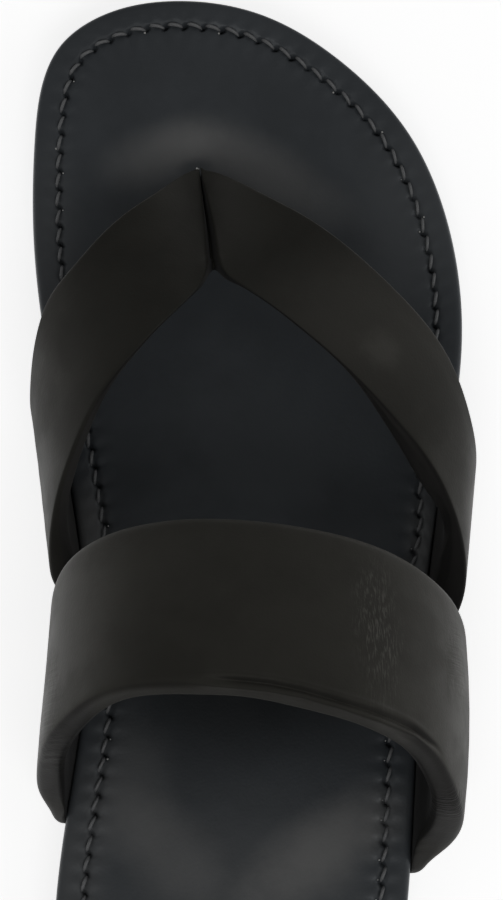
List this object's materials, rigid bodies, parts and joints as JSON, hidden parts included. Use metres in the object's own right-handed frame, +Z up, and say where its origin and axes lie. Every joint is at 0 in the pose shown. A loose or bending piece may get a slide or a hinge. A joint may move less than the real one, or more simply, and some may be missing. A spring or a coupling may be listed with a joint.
{
  "type": "open-toe sandal",
  "caption": "Black leather open-toe thong slide for the right foot: padded V strap with toe post, padded instep band, stitched flat footbed and thin sole with a low heel.",
  "frame": {"origin": "on the floor under the middle of the sandal's bounding box", "axes": "+Y along the sole from heel to toe, +X to the lateral side (little toe), +Z up"},
  "size_m": [0.1012, 0.261, 0.0796],
  "materials": {
    "outsole": "matte black",
    "footbed": "smooth satin black leather with a stitched edge",
    "strap": "soft matte black leather over padding"
  },
  "bodies": {
    "root": {"outsole": "outsole", "footbed": "footbed", "thong_strap": "strap", "instep_strap": "strap"}
  },
  "joints": []
}
